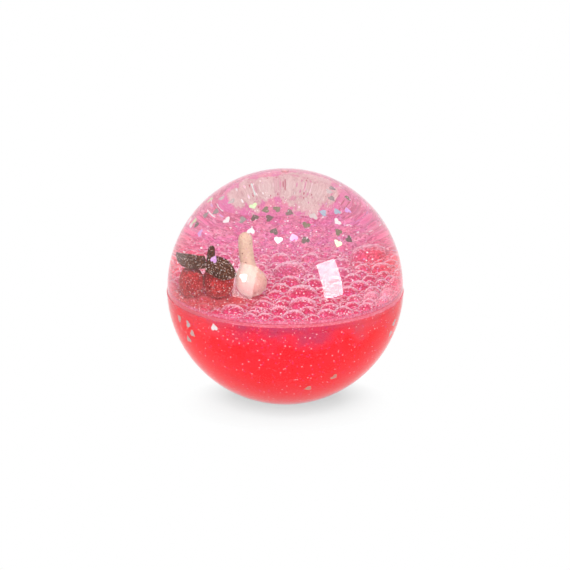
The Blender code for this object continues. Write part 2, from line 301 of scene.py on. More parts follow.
# clear vinyl halves
shellLook = {"segments": 160, "rings": 80, "wall": 0.0026, "step": 0.0002, "seamGap": 0.00008, "hole": 0.0014,
             "cloud": (60.0, 2.0), "tint": [(0.35, (0.93, 0.84, 0.85)), (0.65, (0.96, 0.88, 0.89))],
             "slant": (0.95, 0.5, 0.6), "slantSpan": (0.45, 0.85),
             "wetCloud": (40.0, 2.0), "wet": [(0.3, (0.98, 0.94, 0.95)), (0.7, (1.0, 0.99, 0.99))],
             "ior": 1.45, "lowIor": 1.21,  # less sheen on the red half
             "sameIor": 1.0}  # oil and glue bend light as the vinyl does


def glassFinish(name, ior, cloud, stops, slanted=False):
    finish, tree, shader = newFinish(name)
    colour = ramp(tree, noise(tree, *cloud), stops)["Color"]
    if slanted:
        facing = place(tree, "ShaderNodeLayerWeight").outputs["Facing"]
        long = between(tree, facing, *shellLook["slantSpan"])  # the light's way through the wall is longer there
        colour = blend(tree, long, colour, shellLook["slant"])
    feed(tree, shader, {"Base Color": colour, "Transmission Weight": 1.0, "IOR": ior, "Roughness": 0.0})
    return finish


clearVinyl = glassFinish("clearVinyl", shellLook["ior"], shellLook["cloud"], shellLook["tint"], True)
clearVinylLow = glassFinish("clearVinylLow", shellLook["lowIor"], shellLook["cloud"], shellLook["tint"], True)
wetWall = glassFinish("wetWall", shellLook["sameIor"], shellLook["wetCloud"], shellLook["wet"])
clearGlue = glassFinish("clearGlue", shellLook["sameIor"], seamLook["cloud"], seamLook["clear"])


def makeHalf(name, radius, top):
    clearPick()
    bpy.ops.mesh.primitive_uv_sphere_add(segments=shellLook["segments"], ring_count=shellLook["rings"],
                                         radius=radius, location=centre)
    half = started(name)
    if top:
        slicePiece(half, waterLevel + shellLook["seamGap"], False, False)
        slicePiece(half, waterLevel + math.sqrt(radius ** 2 - shellLook["hole"] ** 2), True, False)
    else:
        slicePiece(half, waterLevel - shellLook["seamGap"], True, False)
        slicePiece(half, 0.0, False, True)
    half.data.materials.append(clearVinyl if top else clearVinylLow)
    half.data.materials.append(wetWall)
    half.data.materials.append(seamGlue)
    worked(half, "SOLIDIFY", thickness=shellLook["wall"], offset=-1, material_offset=1, material_offset_rim=2,
           use_even_offset=True)
    smoothed(half, 40)
    half.visible_shadow = False
    half.visible_diffuse = False  # no red light on the floor
    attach(half, "shell")
    return half


ballTop = makeHalf("ballTop", ballRadius - shellLook["step"], True)
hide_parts("upper_shell")
ballBottom = makeHalf("ballBottom", ballRadius, False)
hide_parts("lower_shell")
print("vinyl halves", len(ballTop.data.polygons) + len(ballBottom.data.polygons), "faces")


def makeSeam():
    low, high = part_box("seam_glue")
    clearPick()
    bpy.ops.mesh.primitive_cylinder_add(vertices=seamLook["segments"], radius=high.x - seamLook["ringIn"],
                                        depth=high.z - low.z, end_fill_type="NOTHING",
                                        location=(0, 0, (low.z + high.z) / 2))
    ring = started("seamLine")
    worked(ring, "SOLIDIFY", thickness=seamLook["ringWide"], offset=0)
    worked(ring, "BEVEL", width=seamLook["ringEdge"], segments=2)
    ring.data.materials.append(clearGlue)
    clearPick()
    bpy.ops.mesh.primitive_cylinder_add(vertices=seamLook["segments"], radius=ballRadius - seamLook["filmIn"],
                                        depth=seamLook["film"], end_fill_type="NOTHING", location=centre)
    flash = started("seamFilm")
    worked(flash, "SOLIDIFY", thickness=seamLook["filmWide"], offset=0)
    flash.data.materials.append(seamGlue)
    joined(ring, [flash])
    smoothed(ring, 40)
    ring.visible_shadow = False
    ring.visible_diffuse = False
    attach(ring, "shell")
    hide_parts("seam_glue")


makeSeam()

# soft plug in the fill hole
plugLook = {"colour": (0.86, 0.36, 0.42), "edge": (0.62, 0.06, 0.1), "segments": 32, "perMetre": 800.0,
            "lip": 0.00025, "dish": 0.00015, "bevel": 0.00006}


def plugFinish():
    finish, tree, shader = newFinish("fillPlug")
    away = length(tree, mapped(tree, here(tree), (plugLook["perMetre"], plugLook["perMetre"], 0.0)))
    tone = ramp(tree, away, [(0.6, plugLook["colour"]), (0.8, plugLook["edge"])])
    feed(tree, shader, {"Base Color": tone["Color"], "Roughness": 0.25})
    return finish


def makePlug():
    low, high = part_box("fill_plug")
    clearPick()
    bpy.ops.mesh.primitive_cylinder_add(vertices=plugLook["segments"], radius=high.x, depth=high.z - low.z,
                                        location=(0, 0, (low.z + high.z) / 2))
    plug = started("fillStopper")
    pick(plug)
    for face in plug.data.polygons:
        face.select = face.normal.z > 0.9
    bpy.ops.object.mode_set(mode="EDIT")
    bpy.ops.mesh.select_mode(type="FACE")
    bpy.ops.mesh.inset(thickness=plugLook["lip"], depth=0)
    bpy.ops.mesh.inset(thickness=plugLook["dish"], depth=-plugLook["dish"])
    closeMesh()
    worked(plug, "BEVEL", width=plugLook["bevel"], segments=2)
    smoothed(plug, 40)
    plug.data.materials.append(plugFinish())
    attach(plug, "shell")
    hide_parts("fill_plug")


makePlug()
print("seam and plug")

# red water
waterLook = {"segments": 128, "rings": 64, "gap": 0.00003, "red": (0.97, 0.012, 0.019), "rose": (0.93, 0.018, 0.034),
             "stirred": (0.41, 0.055, 0.15), "hazy": (0.8, 0.11, 0.14), "waves": 0.014, "stirLow": -0.0005,
             "stirHigh": 0.0065, "sideSpan": (0.02, 0.01, 0.75, 0.9), "hazySpan": (0.01, 0.02),  # start, end, values
             "glitter": 2700.0, "speck": 0.45,
             "specks": [(0.91, (0.95, 0.1, 0.15)), (0.95, (0.7, 0.05, 0.28)), (0.975, (1, 0.6, 0.68)),
                        (0.99, (0.5, 0.01, 0.02))],
             "inner": 0.2, "glow": (1.0, 0.01, 0.03), "glowStirred": (0.42, 0.03, 0.08)}


def waterFinish():
    finish, tree, shader = newFinish("redWater")
    cloud = noise(tree, 160.0, 5.0)
    tone = ramp(tree, cloud, [(0.35, waterLook["red"]), (0.7, waterLook["rose"])])
    axis = axes(tree, here(tree))
    height = sums(tree, "MULTIPLY_ADD", cloud, waterLook["waves"], axis["Z"])
    upper = between(tree, height, waterLevel + waterLook["stirLow"], waterLevel + waterLook["stirHigh"])
    wide = sums(tree, "ABSOLUTE", axis["X"])
    ahead = between(tree, wide, *waterLook["sideSpan"])
    stirred = sums(tree, "MULTIPLY", upper, ahead)  # foam in the top of the water
    aside = between(tree, wide, *waterLook["hazySpan"])
    murky = blend(tree, aside, waterLook["stirred"], waterLook["hazy"])
    colour = blend(tree, stirred, tone["Color"], murky)
    colour = glitterOver(tree, colour, waterLook["glitter"], waterLook["specks"], waterLook["speck"])
    glow = blend(tree, stirred, waterLook["glow"], waterLook["glowStirred"])  # light that spreads inside the water
    feed(tree, shader, {"Base Color": colour, "Emission Color": glow, "Emission Strength": waterLook["inner"],
                        "Roughness": 0.6, "Specular IOR Level": 0.1, "Subsurface Weight": 0.6,
                        "Subsurface Radius": (1.0, 0.2, 0.2), "Subsurface Scale": 0.012})
    return finish


def makeWater():
    clearPick()
    bpy.ops.mesh.primitive_uv_sphere_add(segments=waterLook["segments"], ring_count=waterLook["rings"],
                                         radius=waterRadius, location=centre)
    bath = started("redBath")
    slicePiece(bath, waterLevel - waterLook["gap"], True, True)
    smoothed(bath, 40)
    bath.data.materials.append(waterFinish())
    bath.visible_diffuse = False  # no red light on the floor
    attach(bath, "liquid")
    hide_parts("red_water")


makeWater()
print("red water")

# bubbles on the water: the large ones of the solid, then smaller and smaller ones in the room between
foamLook = {"radius": 0.0294, "sheet": 0.0006, "rise": 0.72, "clear": 0.0001, "seed": 5, "swell": 1.12, "cell": 0.0032,
            "crowd": 0.47, "backShare": 0.45, "backFrom": 0.07, "backTo": 0.49,
            "flatShare": 0.7, "flatFrom": 0.45, "flatTo": 0.9, "sides": 128, "bevel": 0.0001, "cut": -0.2,
            "middle": {"large": 0.0022, "small": 0.0007, "tries": 5200, "shrink": 0.4, "touch": 1.02},
            "tiny": {"large": 0.0008, "small": 0.00024, "tries": 22000, "shrink": 0.5, "touch": 0.84},
            "main": [(0.03, 0.17, 0.1), (0.12, -0.31, 0.103), (0.13, -0.58, 0.094), (0.07, -0.89, 0.084),
                     (0.33, -0.84, 0.073), (0.46, -0.76, 0.071), (-0.42, -0.76, 0.09), (-0.25, -0.8, 0.05),
                     (0.47, 0.47, 0.083), (0.15, 0.42, 0.054), (0.34, 0.32, 0.061), (0.33, 0.62, 0.054),
                     (0.6, 0.24, 0.061), (-0.03, 0.41, 0.061), (0.48, 0.25, 0.045), (0.56, 0.05, 0.045)],
            # deep, pink and pale colour the bubbles by height with painted light and shade; skin is the colour of their
            # painted sheen
            "deep": (0.66, 0.022, 0.1), "pink": (0.78, 0.05, 0.17), "pale": (0.88, 0.3, 0.44),
            "under": (0.72, 0.06, 0.13), "skin": (1.0, 0.57, 0.71), "haze": (0.8, 0.25, 0.4),
            "hazePurple": (0.75, 0.18, 0.39), "hazeSide": (0.86, 0.15, 0.23), "wall": (0.93, 0.085, 0.18),
            "shades": [(0.36, (0.8, 0.45, 0.66)), (0.52, (1.0, 1.0, 1.0)), (0.66, (1.1, 2.0, 1.6))],
            "glitter": 2900.0, "speck": 0.42,
            "specks": [(0.66, (0.9, 0.34, 0.5)), (0.8, (1, 0.8, 0.88)), (0.88, (0.66, 0.2, 0.52)),
                       (0.94, (0.5, 0.02, 0.08))],
            "glints": 2300.0, "glint": 0.38, "glintTones": [(0.87, (1, 0.86, 0.92)), (0.94, (0.75, 0.35, 0.65))],
            "grain": 3300.0, "grainDark": (0.72, 0.6, 0.64), "grainLight": (1.12, 1.5, 1.36),
            "skinRough": 1.1, "leastHaze": 0.3, "glow": (1.0, 0.04, 0.14), "inner": 0.055}

# start, end and values there of what fades over the bubbles
foamSpan = {"rear": (-0.004, 0.005, 0.0, 0.5), "inner": (0.018, 0.011), "rims": (0.36, 0.76, 0.0, 0.88),
            "risen": (0.15, 0.6), "outside": (0.0205, 0.0265, 0.0, 0.9), "offFront": (-0.014, -0.004),
            "middle": (0.024, 0.011, 0.0, 0.93), "far": (0.0125, 0.02)}

# tints of round places in plan: outer and inner radius, share, colour
# fruit is painted shade and red reflected light round the cherries
tintLook = {"deep": 1.3, "fruitAhead": 0.003, "fruit": (0.015, 0.008, 0.85, (0.56, 0.055, 0.05)),
            "frothSpot": (0.0215, -0.0115), "froth": (0.0085, 0.003, 0.5, (0.93, 0.38, 0.5)),
            "sideSpots": [(-0.021, 0.01), (0.021, 0.01)], "side": (0.0105, 0.005, 0.88, (0.88, 0.05, 0.1))}


def fruitSpots():  # the figures' round bellies in plan, with bubbles up to their skin
    spots = []
    for node, side in (("cherry_left", -1), ("cherry_right", 1), ("pear", 0)):
        low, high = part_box(node)
        radius = (high.y - low.y) / 2
        middle = (low + high) / 2
        if side:
            middle.x = low.x + radius if side < 0 else high.x - radius
        spots.append((middle.x, middle.y, radius))
    return spots


def backCut(y):  # bubbles get smaller towards the back
    return 1 + (foamLook["backShare"] - 1) * share(y / waterRadius, foamLook["backFrom"], foamLook["backTo"])


def backFlat(y):  # and flatter
    return 1 - foamLook["flatShare"] * share(y / waterRadius, foamLook["flatFrom"], foamLook["flatTo"])


def bubbleSpots():  # each new bubble only looks at those in the squares round it
    grid = {}

    def square(x, y):
        return int(x // foamLook["cell"]), int(y // foamLook["cell"])

    def keep(bubble):
        grid.setdefault(square(bubble[0], bubble[1]), []).append(bubble)

    def free(x, y, radius, touch):
        column, row = square(x, y)
        near = [other for i in range(-2, 3) for j in range(-2, 3) for other in grid.get((column + i, row + j), [])]
        return all(math.hypot(x - other[0], y - other[1]) > touch * (radius + other[2]) for other in near)

    def offFruit(x, y, wide):
        return all(math.hypot(x - fruit[0], y - fruit[1]) > math.sqrt(wide * (wide + 2 * fruit[2])) + foamLook["clear"]
                   for fruit in fruits)

    def swollen(x, y, radius):
        return x, y, min(radius * foamLook["swell"], foamLook["radius"] - math.hypot(x, y))

    fruits = fruitSpots()
    main = [tuple(part * waterRadius for part in bubble) for bubble in foamLook["main"]]
    for bubble in main:
        keep(bubble)
    draw = random.Random(foamLook["seed"])
    groups = [main]
    for name in ("middle", "tiny"):
        look = foamLook[name]
        group = []
        for attempt in range(look["tries"]):
            radius = look["large"] + (look["small"] - look["large"]) * (attempt / look["tries"]) ** look["shrink"]
            spot = polar((foamLook["radius"] - radius) * draw.random() ** foamLook["crowd"],
                         2 * math.pi * draw.random(), 0)
            radius *= backCut(spot.y)
            if offFruit(spot.x, spot.y, radius * foamLook["swell"]) and free(spot.x, spot.y, radius, look["touch"]):
                group.append((spot.x, spot.y, radius))
                keep(group[-1])
        groups.append(group)
    return [[swollen(*bubble) for bubble in group] for group in groups]


def foamFinish():
    finish, tree, shader = newFinish("wetBubbles")

    def tinted(colour, spot, zone):
        outer, core, most, tint = zone
        deep = tintLook["deep"]
        away = length(tree, mapped(tree, where, (1.0, deep, 0.0), (-spot[0], -deep * spot[1], 0.0)))
        return blend(tree, between(tree, away, outer, core, 0.0, most), colour, tint)

    where = here(tree)
    axis = axes(tree, where)
    wide = sums(tree, "ABSOLUTE", axis["X"])
    up = place(tree, "ShaderNodeAttribute", attribute_name="rise").outputs["Fac"]
    # painted light by height on each bubble: the pink lower sides stand for light glowing through them, the deep upper
    # part is painted shade that offsets the light from above, and the pale pole is a painted highlight
    tone = ramp(tree, up, [(0.0, foamLook["under"]), (0.3, foamLook["pink"]), (0.55, foamLook["deep"]),
                           (0.93, foamLook["deep"]), (1.0, foamLook["pale"])])
    shade = ramp(tree, noise(tree, 2400.0), foamLook["shades"])
    body = blend(tree, 1.0, tone["Color"], shade["Color"], "MULTIPLY")
    body = glitterOver(tree, body, foamLook["glitter"], foamLook["specks"], foamLook["speck"])
    veil = ramp(tree, noise(tree, 420.0, 5.0), [(0.42, foamLook["hazePurple"]), (0.58, foamLook["haze"])])
    rear = between(tree, axis["Y"], *foamSpan["rear"])
    inside = sums(tree, "MULTIPLY", rear, between(tree, wide, *foamSpan["inner"]))
    body = blend(tree, inside, body, veil["Color"])
    for spot in tintLook["sideSpots"]:
        body = tinted(body, spot, tintLook["side"])
    edge = place(tree, "ShaderNodeLayerWeight").outputs["Facing"]  # painted sheen: a paler colour mixed in where the wet bubble skins are seen edge-on
    rough = sums(tree, "MULTIPLY", sums(tree, "SUBTRACT", noise(tree, 2600.0), 0.5), foamLook["skinRough"])
    rims = between(tree, sums(tree, "ADD", edge, rough), *foamSpan["rims"])
    skin = sums(tree, "MULTIPLY", rims, between(tree, up, *foamSpan["risen"]))
    body = blend(tree, skin, body, foamLook["skin"])
    outside = between(tree, length(tree, mapped(tree, where, (1.0, 1.0, 0.0))), *foamSpan["outside"])
    wall = sums(tree, "MULTIPLY", outside, between(tree, axis["Y"], *foamSpan["offFront"]))
    body = blend(tree, wall, body, foamLook["wall"])
    pair = (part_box("cherry_left")[0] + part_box("cherry_right")[1]) / 2
    body = tinted(body, (pair.x, pair.y - tintLook["fruitAhead"]), tintLook["fruit"])  # painted shade and red reflected light of the cherries, darker red in the bubbles round them
    body = tinted(body, tintLook["frothSpot"], tintLook["froth"])
    middle = between(tree, wide, *foamSpan["middle"])
    far = between(tree, axis["Y"], *foamSpan["far"])
    depth = sums(tree, "MULTIPLY", far, sums(tree, "MAXIMUM", middle, foamLook["leastHaze"]))
    body = blend(tree, depth, body, blend(tree, middle, foamLook["hazeSide"], veil["Color"]))
    body = grainOver(tree, body, foamLook["grain"], foamLook["grainDark"], 0.5, foamLook["grainLight"])
    body = glitterOver(tree, body, foamLook["glints"], foamLook["glintTones"], foamLook["glint"])
    feed(tree, shader, {"Base Color": body, "Emission Color": foamLook["glow"], "Emission Strength": foamLook["inner"],
                        "Roughness": 0.45, "Specular IOR Level": 0.12, "Subsurface Weight": 0.35,
                        "Subsurface Radius": (1.0, 0.3, 0.4), "Subsurface Scale": 0.0006})
    return finish


def makeDome(name, segments, rings):  # one closed bubble cap of radius 1, with its rise kept on its points
    clearPick()
    bpy.ops.mesh.primitive_uv_sphere_add(segments=segments, ring_count=rings, radius=1.0)
    dome = started(name)
    slicePiece(dome, foamLook["cut"], False, True)
    rise = dome.data.attributes.new("rise", "FLOAT", "POINT")
    for value, point in zip(rise.data, dome.data.vertices):
        value.value = max(0.0, point.co.z)
    return dome


def makeFoam():
    domes = [makeDome("bubbleBig", 28, 16), makeDome("bubbleMiddle", 12, 6), makeDome("bubbleTiny", 8, 5)]
    groups = bubbleSpots()
    top = waterLevel + foamLook["sheet"]
    copies = []
    for dome, spots in zip(domes, groups):
        for x, y, radius in spots:
            copy = added("bubble", dome.data.copy())
            size = Matrix.Diagonal((radius, radius, radius * foamLook["rise"] * backFlat(y), 1.0))
            copy.data.transform(Matrix.Translation((x, y, top)) @ size)
            copies.append(copy)
    clearPick()
    bpy.ops.mesh.primitive_cylinder_add(vertices=foamLook["sides"], radius=foamLook["radius"], depth=foamLook["sheet"],
                                        location=(0, 0, waterLevel + foamLook["sheet"] / 2))
    sheet = started("foamBubbles")
    worked(sheet, "BEVEL", width=foamLook["bevel"], segments=2)
    sheet.data.attributes.new("rise", "FLOAT", "POINT")
    joined(sheet, copies)
    for dome in domes:
        bpy.data.objects.remove(dome)
    smoothed(sheet, 50)
    sheet.data.materials.append(foamFinish())
    sheet.visible_diffuse = False
    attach(sheet, "foam")
    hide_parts("foam_layer")
    print("bubbles", [len(group) for group in groups], "faces", len(sheet.data.polygons))


makeFoam()

# cherry figure
cherryLook = {"skin": (0.55, 0.016, 0.019), "deep": (0.41, 0.007, 0.009), "glitter": 2900.0, "speck": 0.45,
              "specks": [(0.7, (0.66, 0.1, 0.12)), (0.88, (0.2, 0.01, 0.015))],
              "grain": 3300.0, "grainDark": (0.45, 0.3, 0.3), "grainLight": (1.4, 2.8, 2.5), "sheen": (0.9, 0.2, 0.2)}

leafLook = {"leaf": (0.05, 0.007, 0.0), "pale": (0.11, 0.024, 0.003), "glitter": 3200.0, "speck": 0.36,
            "specks": [(0.6, (0.2, 0.08, 0.05)), (0.86, (0.02, 0.008, 0.004))],
            "grain": 3300.0, "grainDark": (0.5, 0.5, 0.5), "grainLight": (1.5, 1.6, 1.6)}


def speckled(tree, tone, look, middle):  # glitter and grain that stick to a figure
    colour = glitterOver(tree, tone["Color"], look["glitter"], look["specks"], look["speck"])
    return grainOver(tree, colour, look["grain"], look["grainDark"], middle, look["grainLight"])


def cherryFinish():
    finish, tree, shader = newFinish("cherrySkin")
    tone = ramp(tree, noise(tree, 500.0, 4.0), [(0.3, cherryLook["deep"]), (0.65, cherryLook["skin"])])
    feed(tree, shader, {"Base Color": speckled(tree, tone, cherryLook, 0.55), "Roughness": 0.7,
                        "Specular IOR Level": 0.05, "Sheen Weight": 0.5, "Sheen Roughness": 0.5,  # dull, like felt
                        "Sheen Tint": cherryLook["sheen"], "Subsurface Weight": 0.4,
                        "Subsurface Radius": (1.0, 0.2, 0.2), "Subsurface Scale": 0.0015})
    return finish


def leafFinish():
    finish, tree, shader = newFinish("brownLeaf")
    tone = ramp(tree, noise(tree, 600.0, 4.0), [(0.35, leafLook["leaf"]), (0.7, leafLook["pale"])])
    feed(tree, shader, {"Base Color": speckled(tree, tone, leafLook, 0.6), "Roughness": 0.7,
                        "Specular IOR Level": 0.05})
    return finish


def fitToNode(piece, node):  # subdividing shrinks a shape, so it grows back to its solid's box
    low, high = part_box(node)
    corners = [point.co for point in piece.data.vertices]
    small = Vector([min(corner[axis] for corner in corners) for axis in range(3)])
    large = Vector([max(corner[axis] for corner in corners) for axis in range(3)])
    grow = [(high[axis] - low[axis]) / (large[axis] - small[axis]) for axis in range(3)]
    middle, goal = (small + large) / 2, (low + high) / 2
    piece.data.transform(Matrix.Translation(goal) @ Matrix.Diagonal(grow + [1.0]) @ Matrix.Translation(-middle))


def makeFigurePiece(node, name, body, finish):
    piece = nodeCopy(node, name)
    worked(piece, "SUBSURF", levels=2, render_levels=2)
    fitToNode(piece, node)
    facesOut(piece)
    smoothed(piece)
    piece.data.materials.append(finish)
    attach(piece, body)
    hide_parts(node)


cherrySkin = cherryFinish()
brownLeaf = leafFinish()
makeFigurePiece("cherry_left", "cherrySkinLeft", "cherries", cherrySkin)
makeFigurePiece("cherry_right", "cherrySkinRight", "cherries", cherrySkin)
makeFigurePiece("cherry_stem", "stemStub", "cherries", brownLeaf)
makeFigurePiece("leaf_left", "leafBladeLeft", "cherries", brownLeaf)
makeFigurePiece("leaf_right", "leafBladeRight", "cherries", brownLeaf)
print("cherry figure")

# pear figure
pearLook = {"skin": (0.87, 0.57, 0.43), "blush": (0.89, 0.53, 0.42), "wet": (0.88, 0.38, 0.36),
            "glitter": 2400.0, "speck": 0.38,
            "specks": [(0.9, (0.36, 0.08, 0.07)), (0.94, (0.8, 0.34, 0.36)), (0.97, (0.95, 0.75, 0.68))],
            "grain": 3300.0, "grainDark": (0.9, 0.82, 0.82), "grainLight": (1.04, 1.12, 1.12)}


def pearFinish():
    finish, tree, shader = newFinish("pearSkin")
    low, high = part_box("pear")
    up = between(tree, axes(tree, here(tree))["Z"], low.z, high.z)
    # darker and pinker towards the bottom, where the pear stands in the foam: a wet waterline, with painted pink bounce
    # light from the foam
    tone = ramp(tree, up, [(0.15, pearLook["wet"]), (0.4, pearLook["blush"]), (0.65, pearLook["skin"])])
    feed(tree, shader, {"Base Color": speckled(tree, tone, pearLook, 0.5), "Roughness": 0.5,
                        "Specular IOR Level": 0.25})
    return finish


makeFigurePiece("pear", "pearBody", "pear_figure", pearFinish())
print("pear figure")

# heart confetti, thin film that changes colour from piece to piece; the grey and grey-brown hearts are painted shade
# and the white ones a painted reflection of the lamps
heartLook = {"colours": {"greyBrown": (0.17, 0.1, 0.095), "olive": (0.24, 0.18, 0.12), "grey": (0.34, 0.27, 0.27),
                         "pale": (0.66, 0.55, 0.55), "white": (0.95, 0.88, 0.9), "lilac": (0.75, 0.38, 0.85),
                         "green": (0.7, 0.9, 0.45), "sky": (0.4, 0.5, 0.62), "rosy": (0.72, 0.46, 0.44),
                         "red": (0.85, 0.25, 0.24)},
             "shift": 0.2,
             "order": ["grey", "pale", "greyBrown", "grey", "white", "lilac", "green", "pale",
                       "greyBrown", "green", "white", "olive", "grey", "white",
                       "greyBrown", "olive", "greyBrown", "white", "greyBrown", "lilac", "olive", "greyBrown",
                       "olive", "white", "sky", "green", "greyBrown", "pale",
                       "lilac", "grey", "olive", "pale", "sky", "grey",
                       "white", "grey", "rosy", "pale", "rosy", "rosy", "red", "red", "pale", "rosy"]}


def heartFinish(name):
    finish, tree, shader = newFinish("heart" + name[0].upper() + name[1:])
    base = heartLook["colours"][name]
    other = (base[2], base[0], base[1])
    part = heartLook["shift"]
    shift = tuple((1 - part) * a + part * b for a, b in zip(base, other))
    tone = ramp(tree, noise(tree, 900.0, 2.0), [(0.35, base), (0.7, shift)])
    feed(tree, shader, {"Base Color": tone["Color"], "Roughness": 0.3, "Metallic": 0.2})
    return finish


heartFinishes = {name: heartFinish(name) for name in heartLook["colours"]}
hearts = sorted(name for name in nodes if name.startswith("heart_"))
for number, name in enumerate(hearts):
    nodes[name].data.materials[0] = heartFinishes[heartLook["order"][number % len(heartLook["order"])]]
print("hearts", len(hearts))

# hearts that are too many to be solids of their own: azimuth from the front, latitude, turn, colour
extraLook = {"front": [(-41, 27, 10, "lilac"), (-37, -6, 30, "white"), (-21, 21, -15, "white"), (-79, 39, 40, "green"),
                       (-88, 36, -20, "white")],
             "back": 14, "backFrom": 95, "backTo": 265, "lowest": 33, "highest": 62, "seed": 21, "radius": 0.0289}


def makeExtraHearts():
    model = nodeCopy("heart_01", "heartModel")
    low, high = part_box("heart_01")
    start = (low + high) / 2 - centre
    out = Matrix.Translation(start * (extraLook["radius"] / start.length - 1)) @ Matrix.Translation(-centre)
    draw = random.Random(extraLook["seed"])
    places = list(extraLook["front"])
    names = list(heartLook["colours"])
    for count in range(extraLook["back"]):
        places.append((draw.uniform(extraLook["backFrom"], extraLook["backTo"]),
                       draw.uniform(extraLook["lowest"], extraLook["highest"]),
                       draw.uniform(-180, 180), draw.choice(names)))
    copies = []
    for azimuth, latitude, turn, colour in places:
        goal = onSphere(math.radians(azimuth - 90), math.radians(latitude))
        copy = added("heartMore", model.data.copy())
        swing = start.normalized().rotation_difference(goal).to_matrix().to_4x4()
        spin = Matrix.Rotation(math.radians(turn), 4, goal)
        copy.data.transform(Matrix.Translation(centre) @ spin @ swing @ out)
        copy.data.materials.append(heartFinishes[colour])
        copies.append(copy)
    bpy.data.objects.remove(model)
    more = joined(copies[0], copies[1:])
    more.name = "moreHearts"
    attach(more, "confetti")


makeExtraHearts()

# glitter, six-sided flakes of foil, and dust on the cherry figure
glitterLook = {"oil": 3000, "water": 260, "band": 420, "seed": 33, "small": 0.00006, "large": 0.00014, "lean": 0.8,
               "oilRadius": 0.02903, "waterRadius": 0.02889,
               "oilSpan": (3, 75), "waterSpan": (-70, -1), "bandSpan": (-13, -1),
               "fruit": {"leafBladeLeft": 270, "leafBladeRight": 230, "stemStub": 34, "cherrySkinLeft": 70,
                         "cherrySkinRight": 60},
               "fruitSize": (0.00007, 0.00011), "fruitTones": (0, 0.55),
               "foil": [(0.0, (0.95, 0.9, 0.92)), (0.45, (0.95, 0.55, 0.65)), (0.7, (0.72, 0.35, 0.75)),
                        (0.85, (0.75, 0.9, 0.85)), (0.93, (0.4, 0.05, 0.1))],
               "wetFoil": [(0.0, (0.95, 0.34, 0.36)), (0.12, (0.95, 0.14, 0.17)), (0.55, (0.85, 0.06, 0.12)),
                           (0.8, (0.75, 0.05, 0.3)), (0.9, (0.95, 0.6, 0.62))],
               "dust": [(0.0, (0.95, 0.85, 0.78)), (0.2, (0.8, 0.58, 0.46)), (0.42, (0.5, 0.3, 0.22)),
                        (0.5, (0.9, 0.45, 0.48))]}


def flakeFinish(name, stops, rough, metal):  # one shade to a flake
    finish, tree, shader = newFinish(name)
    kind = place(tree, "ShaderNodeAttribute", attribute_name="tone").outputs["Fac"]
    tone = ramp(tree, kind, stops, "CONSTANT")
    feed(tree, shader, {"Base Color": tone["Color"], "Roughness": rough, "Metallic": metal})
    return finish


def wallSpots(count, seed, radius, span):  # place, facing, size and shade of each flake
    draw = random.Random(seed)
    low, high = (math.sin(math.radians(latitude)) for latitude in span)
    spots = []
    for number in range(count):
        azimuth = draw.uniform(0, 2 * math.pi)
        out = onSphere(azimuth, math.asin(draw.uniform(low, high)))
        askew = Vector((draw.uniform(-1, 1), draw.uniform(-1, 1), draw.uniform(-1, 1)))
        lean = (out + glitterLook["lean"] * askew).normalized()
        size = draw.uniform(glitterLook["small"], glitterLook["large"])
        spots.append((centre + out * radius, lean, size, draw.random()))
    return spots


def skinSpots(counts, seed):  # grains that stick to the figures
    draw = random.Random(seed)
    spots = []
    for name, count in counts.items():
        mesh = bpy.data.objects[name].data
        faces = list(mesh.polygons)
        for face in draw.choices(faces, weights=[face.area for face in faces], k=count):
            shares = [draw.random() for corner in face.vertices]
            corners = [mesh.vertices[corner].co for corner in face.vertices]
            spot = sum((corner * part for corner, part in zip(corners, shares)), Vector()) / sum(shares)
            size = draw.uniform(*glitterLook["fruitSize"])
            spots.append((spot, face.normal.copy(), size, draw.uniform(*glitterLook["fruitTones"])))
    return spots


def makeFlakes(name, spots, body, finish, thick=False):
    clearPick()
    if thick:
        bpy.ops.mesh.primitive_ico_sphere_add(subdivisions=1, radius=1.0)
    else:
        bpy.ops.mesh.primitive_circle_add(vertices=6, radius=1.0, fill_type="NGON")
    model = started("flakeModel")
    copies = []
    for spot, lean, size, shade in spots:
        copy = added("flake", model.data.copy())
        turned = lean.to_track_quat("Z", "Y").to_matrix().to_4x4()
        copy.data.transform(Matrix.Translation(spot) @ turned @ Matrix.Scale(size, 4))
        tone = copy.data.attributes.new("tone", "FLOAT", "POINT")
        for value in tone.data:
            value.value = shade
        copies.append(copy)
    bpy.data.objects.remove(model)
    flakes = joined(copies[0], copies[1:])
    flakes.name = name
    flakes.data.materials.append(finish)
    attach(flakes, body)


glitterFoil = flakeFinish("glitterFoil", glitterLook["foil"], 0.4, 0.1)
wetFoil = flakeFinish("wetFoil", glitterLook["wetFoil"], 0.5, 0.0)
figureDust = flakeFinish("figureDust", glitterLook["dust"], 0.5, 0.0)
seed = glitterLook["seed"]
oilSpots = wallSpots(glitterLook["oil"], seed, glitterLook["oilRadius"], glitterLook["oilSpan"])
makeFlakes("glitterOil", oilSpots, "confetti", glitterFoil)
waterSpots = wallSpots(glitterLook["water"], seed + 1, glitterLook["waterRadius"], glitterLook["waterSpan"])
makeFlakes("glitterWater", waterSpots, "liquid", wetFoil)
bandSpots = wallSpots(glitterLook["band"], seed + 2, glitterLook["waterRadius"], glitterLook["bandSpan"])
makeFlakes("glitterBand", bandSpots, "liquid", glitterFoil)
makeFlakes("glitterFruit", skinSpots(glitterLook["fruit"], seed + 3), "cherries", figureDust, True)
print("glitter")

